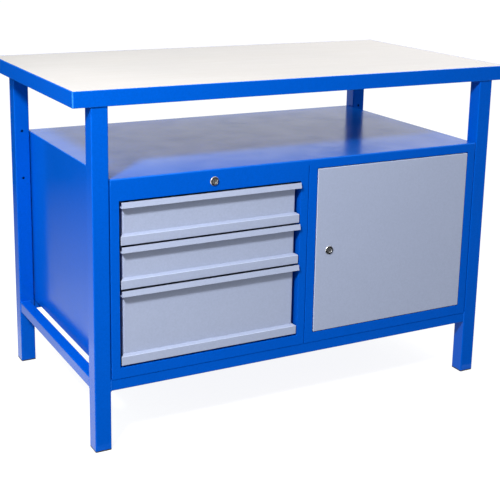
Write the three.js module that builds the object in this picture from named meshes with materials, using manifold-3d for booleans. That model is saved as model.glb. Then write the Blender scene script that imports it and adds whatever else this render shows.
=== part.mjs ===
// Steel workbench with a plywood top, a bay with three drawers and a lockable cupboard.
// Millimetres, +Z up, +X to the right seen from the front, the front faces -Y.
// The origin is on the floor at the centre of the footprint, drawer grips included.
// Most sizes below are measured in the bench group, whose own origin is the outer front
// corner of the front left leg at the floor: x to the right, y to the back, z up.

import * as THREE from 'three';
import { mergeVertices } from 'three/addons/utils/BufferGeometryUtils.js';
import Module from 'manifold-3d';

const wasm = await Module();
wasm.setup();

// ---- driving dimensions ----
const LENGTH = 1200; // worktop, left to right
const DEPTH = 636; // worktop, front to back
const HEIGHT = 855; // floor to the top of the worktop
const SIDE_OVERHANG = 43; // worktop edge beyond the legs, each side
const FRONT_OVERHANG = 4;
const GAP = 0.3; // between pieces that touch
const SHEET = 1.5; // folded sheet of the cabinets, drawers and door

const LEG = 40; // square tube
const LEG_WALL = 2;
const CORNER = 3; // outside radius of every tube corner
const LEG_HOLE = 3.5; // radius of the fixing holes in the rear legs
const LEG_HOLE_HEIGHTS = [527, 656];
const FOOT_FLANGE = 3; // plastic cap under each leg
const FOOT_PLUG = 18; // how far a cap reaches up inside its leg

const RAIL = 28; // square tube of the lower rails
const RAIL_WALL = 1.5;
const RAIL_INSET = 1.5; // rail face behind the leg face
const RAIL_TOP = 175;

const EDGE_ANGLE = 37; // angle steel around the worktop, both legs of the angle
const ANGLE_WALL = 3;
const BEARER = 40; // flat bars across the underside of the worktop
const BEARER_FROM_CENTRE = 203;

const SHELF_TOP = 653; // open shelf between the cabinets and the worktop
const SHELF_BACK = 621;
const SHELF_LIP = 15; // folded down at the front edge

const CABINET_GAP = 2; // between a cabinet and the leg beside it
const CABINET_SPLIT = 559; // line between the two cabinets
const SPLIT_GAP = 1.4;
const OPENING_BOTTOM = 200.5;
const DRAWER_RETURN = 30; // depth of the folded edge around the drawer opening

const DRAWER_STILE = 21.5; // face width beside the drawer opening
const DRAWER_OPENING_TOP = 601;
const DRAWER_SIDE_GAP = 3.4; // front to stile
const DRAWER_SLIT = 2.2; // between one drawer front and the next
const DRAWER_FRONTS = [183.5, 102.5, 102.5]; // heights, from the bottom up
const DRAWER_NAMES = ['bottom', 'middle', 'top'];
const DRAWER_FIRST_BOTTOM = 206;
const DRAWER_INSET = 8.4; // recessed face and box, inward from the ends of the front
const GRIP_PROUD = 9; // grip lip in front of the cabinet face
const GRIP_HEIGHT = 14;
const GRIP_SLANT = 3; // upper edge of the grip lip behind its foot
const FACE_SET_BACK = 9; // recessed face behind the cabinet face
const BAND_HEIGHT = 21.5; // flush band along the foot of a drawer front
const BAND_SLOPE = 4; // rise of the sloping fold above the band
const BOX_BACK = 540; // back wall of the drawer boxes
const BOX_TOP_CLEARANCE = 8.5; // box rim below the top of its front
const BOX_FLOOR = 3; // box floor above the foot of its front

const RUNNER_HEIGHT = 23; // channel fixed in the cabinet
const RUNNER_FRONT = 32;
const RUNNER_BACK = 570;
const SLIDE_HEIGHT = 17; // bar fixed to the drawer, inside the channel
const SLIDE_WIDTH = 8.7;
const SLIDE_FRONT = 34;

const CUPBOARD_STILE = 23;
const CUPBOARD_OPENING_TOP = 629;
const DOOR_GAP = 2;
const DOOR_DEPTH = 18;
const DOOR_PIVOT = [8, 5]; // pin axis: inward from the hinge edge, behind the face
const PIVOT_RADIUS = 3;
const PIVOT_HOLE = 3.4;
const PIVOT_LENGTH = 12; // from the cabinet face frame into the door
const CUPBOARD_SHELF_HEIGHT = 395;
const CUPBOARD_SHELF_FRONT = 60;
const CUPBOARD_SHELF_FLANGE = 20;
const STOP_WIDTH = 6; // door stop behind the lock edge

const LOCK_HEIGHT_DRAWERS = 624.5;
const LOCK_FROM_DOOR_EDGE = 38.5;
const LOCK_FLANGE = 11.5; // radius of the visible ring
const LOCK_PROUD = 3;
const LOCK_BODY = 9;
const LOCK_LENGTH = 21;
const LOCK_BORE = 6.3;
const PLUG_RADIUS = 6;
const KEY_SLOT = [1.8, 8, 3]; // width, height, depth
const ROD_RADIUS = 3; // from the drawer lock to the bar behind the drawers
const CRANK = 10; // crank pin radius, and so the lift of the bar
const CRANK_ARM = 4; // thickness of the crank arm
const PIN_RADIUS = 2;
const HOOK_REACH = 36; // hook behind each drawer box
const HOOK_WIDTH = 20;
const HOOK_DROP = 11.5;
const BAR_FRONT = 582; // lock bar behind the drawers
const BAR_THICK = 2;
const BAR_WIDTH = 24;
const BAR_HEAD = [44, 14, 12]; // width, reach below and above the rod
const BAR_TAIL = 30; // below the lowest catch
const WINDOW = [-5, 15, -3, 6]; // opening for the crank pin: left, right, bottom, top
const CATCH_SET_IN = 12; // catch in front of the tip of its hook
const CATCH_HEIGHT = 13;
const CATCH_CLEARANCE = 1.5; // below the hook while unlocked
const GUIDE_HEIGHT = 20;
const GUIDE_BELOW_ROD = 190;
const GUIDE_WALL = 5;
const GUIDE_PLAY = 0.5;
const CAM_LENGTH = 46;
const CAM_THICK = 2.7;
const ARC_STEPS = 4; // segments in each quarter of a rounded corner
const ROUND_STEPS = 32;

// ---- places worked out from the dimensions ----
const LEG_SPAN = LENGTH - 2 * SIDE_OVERHANG; // outer face to outer face
const LEG_DEPTH = DEPTH - FRONT_OVERHANG;
const FOOTPRINT_DEPTH = LEG_DEPTH + GRIP_PROUD;
const FRAME_TOP = HEIGHT - EDGE_ANGLE;
const INNER_LEFT = LEG + CABINET_GAP;
const INNER_RIGHT = LEG_SPAN - LEG - CABINET_GAP;
const SPLIT_LEFT = CABINET_SPLIT - SPLIT_GAP / 2;
const SPLIT_RIGHT = CABINET_SPLIT + SPLIT_GAP / 2;
const CABINET_BOTTOM = RAIL_TOP + GAP;
const CABINET_TOP = SHELF_TOP - SHEET - GAP;
const FRONT_TOP = SHELF_TOP - SHELF_LIP - GAP; // top of the cabinet faces, under the shelf lip
const CABINET_BACK = SHELF_BACK - 1;
const DRAWER_LEFT = INNER_LEFT + DRAWER_STILE; // drawer opening
const DRAWER_RIGHT = SPLIT_LEFT - DRAWER_STILE;
const DRAWER_CENTRE = (DRAWER_LEFT + DRAWER_RIGHT) / 2;
const FRONT_HALF = (DRAWER_RIGHT - DRAWER_LEFT) / 2 - DRAWER_SIDE_GAP;
const BOX_HALF = FRONT_HALF - DRAWER_INSET;
const DOOR_LEFT = SPLIT_RIGHT + CUPBOARD_STILE + DOOR_GAP;
const DOOR_RIGHT = INNER_RIGHT - CUPBOARD_STILE - DOOR_GAP;
const DOOR_BOTTOM = OPENING_BOTTOM + DOOR_GAP;
const DOOR_TOP = CUPBOARD_OPENING_TOP - DOOR_GAP;
const DOOR_LOCK_X = DOOR_LEFT + LOCK_FROM_DOOR_EDGE;
const DOOR_LOCK_Z = (DOOR_BOTTOM + DOOR_TOP) / 2;

const MATERIALS = {
  blue: { color: 0x0452c4, roughness: 0.35, metalness: 0 },
  grey: { color: 0xa4afcb, roughness: 0.55, metalness: 0 },
  zinc: { color: 0xb9bdc2, roughness: 0.4, metalness: 1 },
  chrome: { color: 0xdadde0, roughness: 0.12, metalness: 1 },
  plywood: { color: 0xe9e2d6, roughness: 0.6, metalness: 0 },
  plastic: { color: 0x15161a, roughness: 0.6, metalness: 0 },
};

// ---- solids ----
function toSolid(geometry) {
  const bare = geometry.clone();
  bare.deleteAttribute('normal');
  bare.deleteAttribute('uv');
  const merged = mergeVertices(bare, 1e-3);
  const mesh = new wasm.Mesh({
    numProp: 3,
    vertProperties: Float32Array.from(merged.attributes.position.array),
    triVerts: Uint32Array.from(merged.index.array),
  });
  return new wasm.Manifold(mesh);
}

function toGeometry(solid) {
  const mesh = solid.getMesh();
  const geometry = new THREE.BufferGeometry();
  geometry.setAttribute('position', new THREE.BufferAttribute(Float32Array.from(mesh.vertProperties), 3));
  geometry.setIndex(new THREE.BufferAttribute(Uint32Array.from(mesh.triVerts), 1));
  geometry.computeVertexNormals();
  return geometry;
}

// A box between two corners.
function block(low, high) {
  const size = high.map((value, i) => value - low[i]);
  const geometry = new THREE.BoxGeometry(...size);
  geometry.translate(...low.map((value, i) => value + size[i] / 2));
  return toSolid(geometry);
}

// A cylinder along Y, from y0 to y1.
function roundAlongY(radius, y0, y1, x = 0, z = 0) {
  const geometry = new THREE.CylinderGeometry(radius, radius, y1 - y0, ROUND_STEPS);
  geometry.translate(x, (y0 + y1) / 2, z);
  return toSolid(geometry);
}

// A cylinder along Z, from z0 to z1.
function roundAlongZ(radius, z0, z1, x = 0, y = 0) {
  const geometry = new THREE.CylinderGeometry(radius, radius, z1 - z0, ROUND_STEPS);
  geometry.rotateX(Math.PI / 2);
  geometry.translate(x, y, (z0 + z1) / 2);
  return toSolid(geometry);
}

function roundedRectangle(width, height, radius) {
  const [w, h] = [width / 2, height / 2];
  const shape = new THREE.Shape();
  shape.moveTo(-w + radius, -h);
  shape.absarc(w - radius, -h + radius, radius, -Math.PI / 2, 0);
  shape.absarc(w - radius, h - radius, radius, 0, Math.PI / 2);
  shape.absarc(-w + radius, h - radius, radius, Math.PI / 2, Math.PI);
  shape.absarc(-w + radius, -h + radius, radius, Math.PI, 1.5 * Math.PI);
  return shape;
}

function polygon(points) {
  return new THREE.Shape(points.map(([x, y]) => new THREE.Vector2(x, y)));
}

function extruded(shape, length) {
  return new THREE.ExtrudeGeometry(shape, { depth: length, bevelEnabled: false, curveSegments: ARC_STEPS });
}

// A square tube along Z with rounded corners, open at both ends.
function squareTube(size, wall, length) {
  const shape = roundedRectangle(size, size, CORNER);
  shape.holes.push(roundedRectangle(size - 2 * wall, size - 2 * wall, CORNER - wall));
  return toSolid(extruded(shape, length));
}

// An outline in the YZ plane, given length along X from x = 0.
function prismAlongX(points, length) {
  const geometry = extruded(polygon(points), length);
  const swap = new THREE.Matrix4().makeBasis(
    new THREE.Vector3(0, 1, 0),
    new THREE.Vector3(0, 0, 1),
    new THREE.Vector3(1, 0, 0),
  );
  geometry.applyMatrix4(swap);
  return toSolid(geometry);
}

function joined(...solids) {
  return solids.reduce((sum, next) => sum.add(next));
}

// ---- scene graph ----
const bench = new THREE.Group();
bench.position.set(SIDE_OVERHANG - LENGTH / 2, GRIP_PROUD - FOOTPRINT_DEPTH / 2, 0);

function addPiece(parent, name, material, solid, position = [0, 0, 0], rotation = [0, 0, 0]) {
  const mesh = new THREE.Mesh(toGeometry(solid), new THREE.MeshStandardMaterial(MATERIALS[material]));
  mesh.name = name;
  mesh.position.set(...position);
  mesh.rotation.set(...rotation);
  parent.add(mesh);
}

// ---- base frame ----
function addLegs() {
  const sides = [['left', 0], ['right', LEG_SPAN - LEG]];
  const ends = [['front', 0], ['rear', LEG_DEPTH - LEG]];
  const inside = LEG / 2 - LEG_WALL - GAP;
  for (const [side, x] of sides) {
    for (const [end, y] of ends) {
      const corner = new THREE.Group();
      corner.position.set(x + LEG / 2, y + LEG / 2, 0);
      bench.add(corner);
      const foot = FOOT_FLANGE + GAP;
      let tube = squareTube(LEG, LEG_WALL, FRAME_TOP - GAP - foot);
      if (end === 'rear') {
        for (const height of LEG_HOLE_HEIGHTS) {
          tube = tube.subtract(roundAlongY(LEG_HOLE, -LEG, -LEG / 4, 0, height - foot));
        }
      }
      addPiece(corner, `leg_${end}_${side}`, 'blue', tube, [0, 0, foot]);
      const flange = toSolid(extruded(roundedRectangle(LEG, LEG, CORNER), FOOT_FLANGE));
      const plug = block([-inside, -inside, 0], [inside, inside, FOOT_FLANGE + FOOT_PLUG]);
      addPiece(corner, `foot_cap_${end}_${side}`, 'plastic', joined(flange, plug));
    }
  }
}

function addRails() {
  const middle = RAIL_INSET + RAIL / 2;
  const height = RAIL_TOP - RAIL / 2;
  const across = LEG_SPAN - 2 * (LEG + GAP);
  for (const [name, y] of [['rail_front', middle], ['rail_rear', LEG_DEPTH - middle]]) {
    const tube = squareTube(RAIL, RAIL_WALL, across);
    addPiece(bench, name, 'blue', tube, [LEG + GAP, y, height], [0, Math.PI / 2, 0]);
  }
  const deep = LEG_DEPTH - 2 * (LEG + GAP);
  for (const [name, x] of [['stretcher_left', middle], ['stretcher_right', LEG_SPAN - middle]]) {
    const tube = squareTube(RAIL, RAIL_WALL, deep);
    addPiece(bench, name, 'blue', tube, [x, LEG_DEPTH - LEG - GAP, height], [Math.PI / 2, 0, 0]);
  }
}

// ---- worktop ----
// One length of angle steel, mitred at both ends: its outer face along X from 0 to length,
// its flat leg under the board on the +Y side.
function edgeAngle(length) {
  const section = [[0, 0], [EDGE_ANGLE, 0], [EDGE_ANGLE, ANGLE_WALL], [ANGLE_WALL, ANGLE_WALL]];
  section.push([ANGLE_WALL, EDGE_ANGLE], [0, EDGE_ANGLE]);
  const bar = prismAlongX(section, length);
  const mitre = polygon([[GAP, 0], [length - GAP, 0], [length / 2, length / 2 - GAP]]);
  return bar.intersect(toSolid(extruded(mitre, EDGE_ANGLE)));
}

function addWorktop() {
  const top = new THREE.Group();
  top.position.set(LENGTH / 2 - SIDE_OVERHANG, DEPTH / 2 - FRONT_OVERHANG, FRAME_TOP);
  bench.add(top);
  const [halfLength, halfDepth] = [LENGTH / 2, DEPTH / 2];
  const sides = [
    ['top_angle_front', LENGTH, [-halfLength, -halfDepth], 0],
    ['top_angle_right', DEPTH, [halfLength, -halfDepth], 1],
    ['top_angle_rear', LENGTH, [halfLength, halfDepth], 2],
    ['top_angle_left', DEPTH, [-halfLength, halfDepth], 3],
  ];
  for (const [name, length, [x, y], quarterTurns] of sides) {
    addPiece(top, name, 'blue', edgeAngle(length), [x, y, 0], [0, 0, quarterTurns * Math.PI / 2]);
  }
  const edge = ANGLE_WALL + GAP;
  const board = block(
    [edge - halfLength, edge - halfDepth, edge],
    [halfLength - edge, halfDepth - edge, EDGE_ANGLE],
  );
  addPiece(top, 'worktop_board', 'plywood', board);
  const reach = halfDepth - EDGE_ANGLE - GAP;
  const bearer = block([-BEARER / 2, -reach, 0], [BEARER / 2, reach, ANGLE_WALL]);
  addPiece(top, 'top_bearer_left', 'blue', bearer, [-BEARER_FROM_CENTRE, 0, 0]);
  addPiece(top, 'top_bearer_right', 'blue', bearer, [BEARER_FROM_CENTRE, 0, 0]);
}

// ---- shelf and cabinets ----
function addShelf() {
  const plate = block([INNER_LEFT, 0, SHELF_TOP - SHEET], [INNER_RIGHT, SHELF_BACK, SHELF_TOP]);
  const lip = block([INNER_LEFT, 0, SHELF_TOP - SHELF_LIP], [INNER_RIGHT, SHEET, SHELF_TOP]);
  addPiece(bench, 'shelf_plate', 'blue', joined(plate, lip));
}

// The face of a cabinet: a sheet with an opening whose edges fold back into the cabinet.
function faceFrame(left, right, opening, returnDepth) {
  const { x0, x1, z0, z1 } = opening;
  const face = block([left, 0, CABINET_BOTTOM], [right, SHEET, FRONT_TOP]);
  const sleeve = block([x0 - SHEET, 0, z0 - SHEET], [x1 + SHEET, returnDepth, z1 + SHEET]);
  const hole = block([x0, -1, z0], [x1, returnDepth + 1, z1]);
  return joined(face, sleeve).subtract(hole);
}

function addCabinetShell(name, left, right) {
  const inner = left + SHEET + GAP;
  const outer = right - SHEET - GAP;
  const [front, back] = [SHEET + GAP, CABINET_BACK];
  const side = block([0, front, CABINET_BOTTOM], [SHEET, back, CABINET_TOP]);
  addPiece(bench, `${name}_side_left`, 'blue', side, [left, 0, 0]);
  addPiece(bench, `${name}_side_right`, 'blue', side, [right - SHEET, 0, 0]);
  const wall = block([inner, back - SHEET, CABINET_BOTTOM], [outer, back, CABINET_TOP]);
  addPiece(bench, `${name}_back`, 'blue', wall);
  const floor = block(
    [inner, front, CABINET_BOTTOM],
    [outer, back - SHEET - GAP, CABINET_BOTTOM + SHEET],
  );
  addPiece(bench, `${name}_floor`, 'blue', floor);
}

function addDrawerCabinet() {
  addCabinetShell('drawer_cabinet', INNER_LEFT, SPLIT_LEFT);
  const opening = { x0: DRAWER_LEFT, x1: DRAWER_RIGHT, z0: OPENING_BOTTOM, z1: DRAWER_OPENING_TOP };
  const frame = faceFrame(INNER_LEFT, SPLIT_LEFT, opening, DRAWER_RETURN);
  const lockHole = roundAlongY(LOCK_BODY + GAP, -1, SHEET + 1, DRAWER_CENTRE, LOCK_HEIGHT_DRAWERS);
  addPiece(bench, 'drawer_cabinet_face_frame', 'blue', frame.subtract(lockHole));
}

function addCupboard() {
  addCabinetShell('cupboard', SPLIT_RIGHT, INNER_RIGHT);
  const opening = {
    x0: DOOR_LEFT - DOOR_GAP,
    x1: DOOR_RIGHT + DOOR_GAP,
    z0: OPENING_BOTTOM,
    z1: CUPBOARD_OPENING_TOP,
  };
  const stopFront = DOOR_DEPTH + GAP;
  const frame = faceFrame(SPLIT_RIGHT, INNER_RIGHT, opening, stopFront + SHEET);
  const stop = block(
    [opening.x0 - SHEET, stopFront, opening.z0],
    [opening.x0 + STOP_WIDTH, stopFront + SHEET, opening.z1],
  );
  addPiece(bench, 'cupboard_face_frame', 'blue', joined(frame, stop));
  const [left, right] = [SPLIT_RIGHT + SHEET + GAP, INNER_RIGHT - SHEET - GAP];
  const back = CABINET_BACK - SHEET - GAP;
  const height = CUPBOARD_SHELF_HEIGHT;
  const foot = height - CUPBOARD_SHELF_FLANGE;
  const outside = block([left, CUPBOARD_SHELF_FRONT, foot], [right, back, height]);
  const underside = block(
    [left + SHEET, CUPBOARD_SHELF_FRONT + SHEET, foot - 1],
    [right - SHEET, back + 1, height - SHEET],
  );
  addPiece(bench, 'cupboard_shelf', 'blue', outside.subtract(underside));
}

// ---- drawers ----
// The folded front of one drawer, its foot at z = 0, centred on x = 0, y = 0 at the cabinet face.
function drawerFront(height) {
  const gripFoot = height - GRIP_HEIGHT;
  const faceTop = gripFoot + SHEET;
  const back = FACE_SET_BACK + SHEET;
  const gripFront = [[GRIP_SLANT - GRIP_PROUD, height], [-GRIP_PROUD, gripFoot]];
  const hollowFront = [
    [gripFront[0][0] + SHEET, height - SHEET],
    [gripFront[1][0] + SHEET, gripFoot + SHEET],
  ];
  const wide = 2 * FRONT_HALF;
  const grip = prismAlongX([...gripFront, [back, gripFoot], [back, height]], wide)
    .translate([-FRONT_HALF, 0, 0]);
  const hollowOutline = [...hollowFront, [back + 1, gripFoot + SHEET], [back + 1, height - SHEET]];
  const gripHollow = prismAlongX(hollowOutline, wide + 2).translate([-FRONT_HALF - 1, 0, 0]);
  const face = block([-BOX_HALF, FACE_SET_BACK, BAND_HEIGHT], [BOX_HALF, back, faceTop]);
  const slopeTop = BAND_HEIGHT + BAND_SLOPE;
  const bandOutline = [[0, 0], [back, 0], [back, SHEET], [SHEET, SHEET], [SHEET, BAND_HEIGHT - SHEET / 2]];
  bandOutline.push([back, slopeTop - SHEET / 2], [FACE_SET_BACK, slopeTop], [0, BAND_HEIGHT]);
  const plan = polygon([[-FRONT_HALF, 0], [FRONT_HALF, 0], [BOX_HALF, back], [-BOX_HALF, back]]);
  const band = prismAlongX(bandOutline, wide)
    .translate([-FRONT_HALF, 0, 0])
    .intersect(toSolid(extruded(plan, slopeTop + 1)));
  return joined(grip.subtract(gripHollow), face, band);
}

// The open box behind a front, with the hook that the lock bar catches.
function drawerBox(height) {
  const front = FACE_SET_BACK + SHEET + GAP;
  const rim = height - BOX_TOP_CLEARANCE;
  const outside = block([-BOX_HALF, front, BOX_FLOOR], [BOX_HALF, BOX_BACK, rim]);
  const inside = block(
    [SHEET - BOX_HALF, front + SHEET, BOX_FLOOR + SHEET],
    [BOX_HALF - SHEET, BOX_BACK - SHEET, rim + 1],
  );
  const hookEnd = BOX_BACK + HOOK_REACH;
  const half = HOOK_WIDTH / 2;
  const arm = block([-half, BOX_BACK - SHEET, rim - SHEET], [half, hookEnd, rim]);
  const tip = block([-half, hookEnd - SHEET, rim - HOOK_DROP], [half, hookEnd, rim]);
  return joined(outside.subtract(inside), arm, tip);
}

// The channel fixed in the cabinet, on the left: x = 0 is the cabinet side.
function runnerChannel() {
  const reach = DRAWER_CENTRE - BOX_HALF - SHEET - (INNER_LEFT + SHEET + GAP);
  const outside = block([0, RUNNER_FRONT, 0], [reach, RUNNER_BACK, RUNNER_HEIGHT]);
  const inside = block(
    [SHEET, RUNNER_FRONT - 1, SHEET],
    [reach + 1, RUNNER_BACK + 1, RUNNER_HEIGHT - SHEET],
  );
  return outside.subtract(inside);
}

// The bar on a drawer's side that slides in the channel, with a rail groove along it.
function drawerSlide() {
  const bar = block([0, SLIDE_FRONT, 0], [SLIDE_WIDTH, BOX_BACK - SHEET, SLIDE_HEIGHT]);
  const groove = block(
    [-1, SLIDE_FRONT - 1, 2 * SHEET],
    [SLIDE_WIDTH - SHEET, BOX_BACK, SLIDE_HEIGHT - 2 * SHEET],
  );
  return bar.subtract(groove);
}

function addDrawers() {
  const channel = runnerChannel();
  const slide = drawerSlide();
  const slideX = BOX_HALF + GAP + SLIDE_WIDTH;
  const channelX = DRAWER_CENTRE - (INNER_LEFT + SHEET + GAP);
  let foot = DRAWER_FIRST_BOTTOM;
  DRAWER_NAMES.forEach((name, i) => {
    const height = DRAWER_FRONTS[i];
    const drawer = new THREE.Group();
    drawer.position.set(DRAWER_CENTRE, 0, foot);
    bench.add(drawer);
    addPiece(drawer, `drawer_front_${name}`, 'grey', drawerFront(height));
    addPiece(drawer, `drawer_box_${name}`, 'grey', drawerBox(height));
    const channelZ = BOX_FLOOR - SHEET;
    const slideZ = channelZ + (RUNNER_HEIGHT - SLIDE_HEIGHT) / 2;
    addPiece(drawer, `drawer_slide_${name}_left`, 'zinc', slide, [-slideX, 0, slideZ]);
    addPiece(drawer, `drawer_slide_${name}_right`, 'zinc', slide.mirror([1, 0, 0]), [slideX, 0, slideZ]);
    addPiece(drawer, `runner_${name}_left`, 'zinc', channel, [-channelX, 0, channelZ]);
    addPiece(drawer, `runner_${name}_right`, 'zinc', channel.mirror([1, 0, 0]), [channelX, 0, channelZ]);
    foot += height + DRAWER_SLIT;
  });
}

// ---- door ----
function addDoor() {
  const [width, height] = [DOOR_RIGHT - DOOR_LEFT, DOOR_TOP - DOOR_BOTTOM];
  const pivotX = width - DOOR_PIVOT[0];
  const tray = block([0, 0, 0], [width, DOOR_DEPTH, height])
    .subtract(block([SHEET, SHEET, SHEET], [width - SHEET, DOOR_DEPTH + 1, height - SHEET]))
    .subtract(roundAlongZ(PIVOT_HOLE, -1, height + 1, pivotX, DOOR_PIVOT[1]))
    .subtract(roundAlongY(LOCK_BODY + GAP, -1, SHEET + 1, LOCK_FROM_DOOR_EDGE, height / 2));
  addPiece(bench, 'door_panel', 'grey', tray, [DOOR_LEFT, 0, DOOR_BOTTOM]);
  const [x, y] = [DOOR_LEFT + pivotX, DOOR_PIVOT[1]];
  const [bottom, top] = [OPENING_BOTTOM, CUPBOARD_OPENING_TOP];
  const lower = roundAlongZ(PIVOT_RADIUS, bottom + GAP, bottom + PIVOT_LENGTH, x, y);
  const upper = roundAlongZ(PIVOT_RADIUS, top - PIVOT_LENGTH, top - GAP, x, y);
  addPiece(bench, 'door_pivot_lower', 'zinc', lower);
  addPiece(bench, 'door_pivot_upper', 'zinc', upper);
}

// ---- locks ----
// A cylinder lock along Y with y = 0 at the face it is fitted in.
function lockBarrel() {
  const ring = roundAlongY(LOCK_FLANGE, -LOCK_PROUD, -GAP);
  const body = roundAlongY(LOCK_BODY, -LOCK_PROUD, LOCK_LENGTH);
  return joined(ring, body).subtract(roundAlongY(LOCK_BORE, -LOCK_PROUD - 1, LOCK_LENGTH + 1));
}

function lockPlug() {
  const [slotWidth, slotHeight, slotDepth] = KEY_SLOT;
  const front = GAP - LOCK_PROUD;
  const slot = block(
    [-slotWidth / 2, front - 1, -slotHeight / 2],
    [slotWidth / 2, front + slotDepth, slotHeight / 2],
  );
  return roundAlongY(PLUG_RADIUS, front, LOCK_LENGTH).subtract(slot);
}

function addDrawerLock() {
  const lock = new THREE.Group();
  lock.position.set(DRAWER_CENTRE, 0, LOCK_HEIGHT_DRAWERS);
  bench.add(lock);
  addPiece(lock, 'drawer_lock_barrel', 'chrome', lockBarrel());
  addPiece(lock, 'drawer_lock_plug', 'chrome', lockPlug());
  const armBack = BAR_FRONT - BAR_THICK;
  const armFront = armBack - CRANK_ARM;
  const rod = roundAlongY(ROD_RADIUS, LOCK_LENGTH + GAP, armBack);
  const arm = block([-ROD_RADIUS, armFront, -ROD_RADIUS], [CRANK + ROD_RADIUS, armBack, ROD_RADIUS]);
  const pin = roundAlongY(PIN_RADIUS, armFront, BAR_FRONT + 2 * BAR_THICK, CRANK, 0);
  addPiece(lock, 'drawer_lock_rod', 'zinc', joined(rod, arm, pin));
  addPiece(lock, 'drawer_lock_bar', 'zinc', lockBar());
  addPiece(lock, 'drawer_lock_guide', 'zinc', barGuide());
}

// The flat bar behind the drawers. Each upturned catch rises behind a drawer's hook.
function lockBar() {
  const back = BAR_FRONT + BAR_THICK;
  const catchFront = BOX_BACK + HOOK_REACH - CATCH_SET_IN;
  const catches = [];
  let foot = DRAWER_FIRST_BOTTOM - LOCK_HEIGHT_DRAWERS;
  let lowest = Infinity;
  for (const height of DRAWER_FRONTS) {
    const top = foot + height - BOX_TOP_CLEARANCE - HOOK_DROP - CATCH_CLEARANCE;
    const bottom = top - CATCH_HEIGHT;
    const half = HOOK_WIDTH / 2;
    catches.push(block([-half, catchFront, bottom], [half, back, bottom + BAR_THICK]));
    catches.push(block([-half, catchFront, bottom], [half, catchFront + BAR_THICK, top]));
    lowest = Math.min(lowest, bottom);
    foot += height + DRAWER_SLIT;
  }
  const [headWidth, headBelow, headAbove] = BAR_HEAD;
  const [left, right, low, high] = WINDOW;
  const strip = block([-BAR_WIDTH / 2, BAR_FRONT, lowest - BAR_TAIL], [BAR_WIDTH / 2, back, 0]);
  const head = block([-headWidth / 2, BAR_FRONT, -headBelow], [headWidth / 2, back, headAbove]);
  const window = block([left, BAR_FRONT - 1, low], [right, back + 1, high]);
  return joined(strip, head, ...catches).subtract(window);
}

// The bracket on the cabinet back that the bar slides through.
function barGuide() {
  const low = -GUIDE_BELOW_ROD;
  const high = low + GUIDE_HEIGHT;
  const back = CABINET_BACK - SHEET - GAP;
  const half = BAR_WIDTH / 2 + GUIDE_PLAY;
  const front = BAR_FRONT - GUIDE_PLAY;
  const body = block([-half - GUIDE_WALL, front - BAR_THICK, low], [half + GUIDE_WALL, back, high]);
  return body.subtract(block([-half, front, low - 1], [half, back - GUIDE_WALL, high + 1]));
}

function addDoorLock() {
  const lock = new THREE.Group();
  lock.position.set(DOOR_LOCK_X, 0, DOOR_LOCK_Z);
  bench.add(lock);
  addPiece(lock, 'door_lock_barrel', 'chrome', lockBarrel());
  addPiece(lock, 'door_lock_plug', 'chrome', lockPlug());
  const front = LOCK_LENGTH + GAP;
  const back = front + CAM_THICK;
  const hub = roundAlongY(PLUG_RADIUS, front, back);
  const tongue = block([-PLUG_RADIUS, front, -CAM_LENGTH], [PLUG_RADIUS, back, 0]);
  addPiece(lock, 'door_lock_cam', 'zinc', joined(hub, tongue));
}

addLegs();
addRails();
addWorktop();
addShelf();
addDrawerCabinet();
addCupboard();
addDrawers();
addDoor();
addDrawerLock();
addDoorLock();

const workbench = new THREE.Group();
workbench.add(bench);

export default workbench;
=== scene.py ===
"""Steel workbench with a plywood top, three drawers and a lockable cupboard, round its CAD frame.

Metres, in the frame's own axes: +X to the right seen from the front, the front faces -Y, +Z up.
"""

import math
import random

import bmesh
import bpy
from mathutils import Matrix, Vector


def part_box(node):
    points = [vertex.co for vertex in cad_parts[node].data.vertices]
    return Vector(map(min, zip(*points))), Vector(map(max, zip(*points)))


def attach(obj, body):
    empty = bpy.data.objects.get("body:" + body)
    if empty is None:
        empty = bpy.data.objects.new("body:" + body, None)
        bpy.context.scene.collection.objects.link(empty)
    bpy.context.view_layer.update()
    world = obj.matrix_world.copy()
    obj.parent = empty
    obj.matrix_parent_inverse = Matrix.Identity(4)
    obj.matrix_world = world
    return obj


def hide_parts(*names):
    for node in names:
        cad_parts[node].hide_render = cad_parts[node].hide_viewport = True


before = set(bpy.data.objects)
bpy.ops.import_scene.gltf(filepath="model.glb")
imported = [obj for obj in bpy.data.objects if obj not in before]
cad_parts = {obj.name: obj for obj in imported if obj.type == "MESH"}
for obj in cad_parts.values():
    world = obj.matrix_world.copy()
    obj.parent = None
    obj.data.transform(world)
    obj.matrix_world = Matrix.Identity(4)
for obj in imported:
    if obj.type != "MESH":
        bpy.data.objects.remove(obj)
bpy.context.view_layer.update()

MM = 0.001

# ---- camera ----
CAMERA_PLACE = (-1.3477, -2.5038, 1.2284)
CAMERA_YAW = math.radians(28.386)
CAMERA_PITCH = math.radians(13.5)
CAMERA_ROLL = math.radians(1.144)
CAMERA_LENS = 77.97
CAMERA_SENSOR = 36
CAMERA_SHIFT = -0.15

# ---- sheet metal and tube ----
SHEET = 1.5 * MM
GAP = 0.3 * MM
OPENING_BEND = 0.9 * MM  # outside radius of the fold round an opening
BEND_STEPS = 5
BEND_FACE = 1.05 * MM  # faces narrower than this belong to a bend and get the painted highlight
SAME_DEPTH = 1e-6  # depths closer than this are the same
LEVEL = 0.99  # upward part of the normal of a face that looks straight up
ARRIS = 1.8 * MM  # rounded outer edges of the cabinets
SHARP_ANGLE = math.radians(32)
NODE_ROUND = 0.4 * MM  # rounded edges of the CAD nodes
NODE_ROUND_STEPS = 2
NODE_ROUND_ANGLE = math.radians(50)
NODE_FLAT_ANGLE = math.radians(0.6)
NODE_MERGE = 0.01 * MM
EDGE_WALL = 3 * MM  # angle steel around the worktop
EDGE_ROUND = 1.6 * MM
EDGE_CORNER = 2.6 * MM  # outside radius of the worktop's vertical corners
EDGE_CORNER_LEAST = 0.2 * MM
EDGE_STEPS = 3
TALL_FACE = 20 * MM  # faces higher than this run up the edge; bend faces among them get the painted corner highlight
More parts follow.
